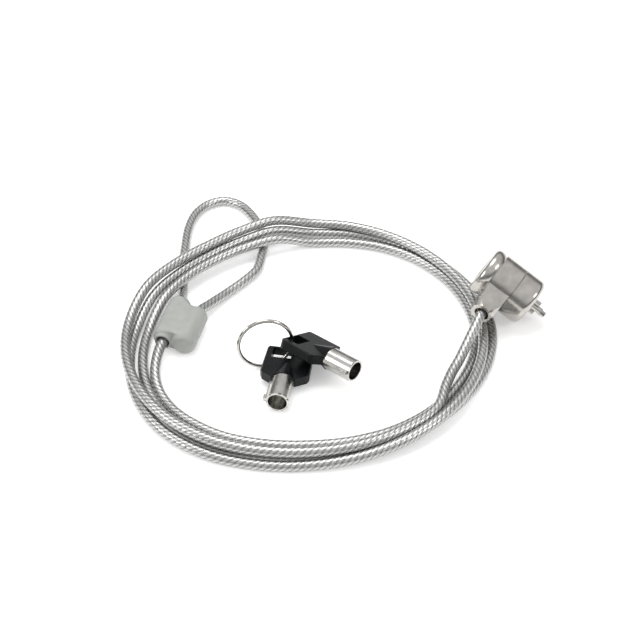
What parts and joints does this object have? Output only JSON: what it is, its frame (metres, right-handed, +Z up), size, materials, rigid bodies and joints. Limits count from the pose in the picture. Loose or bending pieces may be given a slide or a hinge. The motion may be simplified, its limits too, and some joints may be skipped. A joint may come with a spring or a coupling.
{
  "type": "laptop cable lock",
  "caption": "Laptop cable lock: swivelling T-bar lock head on a coiled steel cable with an end loop, and two tubular keys on a ring.",
  "frame": {"origin": "centre of the footprint of the lock head and the keys, on the surface they lie on", "axes": "+Z up, +X from the keys towards the lock head, +Y away from the viewer"},
  "size_m": [0.1501, 0.1441, 0.0243],
  "materials": {
    "lock_steel": "satin",
    "polished_steel": "gloss",
    "inner_brass": "satin",
    "spring_steel": "satin",
    "steel_cable": "gloss",
    "sleeve_plastic": "matte",
    "crimp_metal": "satin",
    "key_tube_nickel": "gloss",
    "key_bow_plastic": "gloss"
  },
  "bodies": {
    "cable": {"cable_coil": "steel_cable", "cable_lead": "steel_cable", "cable_tail": "steel_cable", "cable_loop": "steel_cable", "cable_end": "polished_steel", "loop_sleeve_upper": "sleeve_plastic", "loop_sleeve_lower": "sleeve_plastic", "crimp_ferrule": "crimp_metal"},
    "collar": {"swivel_collar": "lock_steel", "lug_pin": "polished_steel"},
    "lock_body": {"front_cap": "lock_steel", "rear_body": "lock_steel", "core_housing": "lock_steel", "anti_rotation_pins": "polished_steel", "driver_block": "inner_brass", "pin_springs": "spring_steel", "driver_block_pin": "spring_steel", "wave_washer": "spring_steel"},
    "turning_core": {"rotor": "inner_brass", "t_bar": "polished_steel", "retaining_clip": "spring_steel"},
    "pin_stack": {"key_pins": "inner_brass"},
    "driver_stack": {"driver_pins": "inner_brass"},
    "ring": {"key_ring": "polished_steel"},
    "key_a": {"key_a_tube": "key_tube_nickel", "key_a_bow": "key_bow_plastic", "key_a_pin": "spring_steel"},
    "key_b": {"key_b_tube": "key_tube_nickel", "key_b_bow": "key_bow_plastic", "key_b_pin": "spring_steel"}
  },
  "joints": [
    {"name": "lug_swivel", "type": "hinge", "parent": "cable", "child": "collar", "pos_m": [0.03877, 0.01996, 0.01315], "axis": [-0.5208, -0.8484, -0.0947], "range_deg": [0, 5]},
    {"name": "collar_swivel", "type": "hinge", "parent": "collar", "child": "lock_body", "pos_m": [0.03877, 0.01996, 0.01315], "axis": [0.7927, -0.4394, -0.4226], "continuous": true},
    {"name": "key_turn", "type": "hinge", "parent": "lock_body", "child": "turning_core", "pos_m": [0.03984, 0.01937, 0.01258], "axis": [0.7927, -0.4394, -0.4226], "range_deg": [-51.43, 51.43]},
    {"name": "pins_in", "type": "slide", "parent": "turning_core", "child": "pin_stack", "axis": [0.7927, -0.4394, -0.4226], "range_m": [0, 0.0008], "stiffness_N_per_m": 50, "springref_m": -0.0002},
    {"name": "drivers_in", "type": "slide", "parent": "lock_body", "child": "driver_stack", "axis": [0.7927, -0.4394, -0.4226], "range_m": [0, 0.0008], "deforming": ["pin_springs"]},
    {"name": "keys_lift", "type": "slide", "parent": "cable", "child": "ring", "axis": [0, 0, 1], "range_m": [0, 0.12]},
    {"name": "key_a_swing", "type": "hinge", "parent": "ring", "child": "key_a", "pos_m": [-0.03855, -0.00806, 0.00322], "axis": [0, 0, 1], "range_deg": [-4, 4]},
    {"name": "key_b_swing", "type": "hinge", "parent": "ring", "child": "key_b", "pos_m": [-0.03579, -0.00664, 0.00887], "axis": [0, 0, 1], "range_deg": [-4, 4]}
  ],
  "couplings": [
    {"joint": "drivers_in", "follows": "pins_in", "ratio": 1}
  ]
}
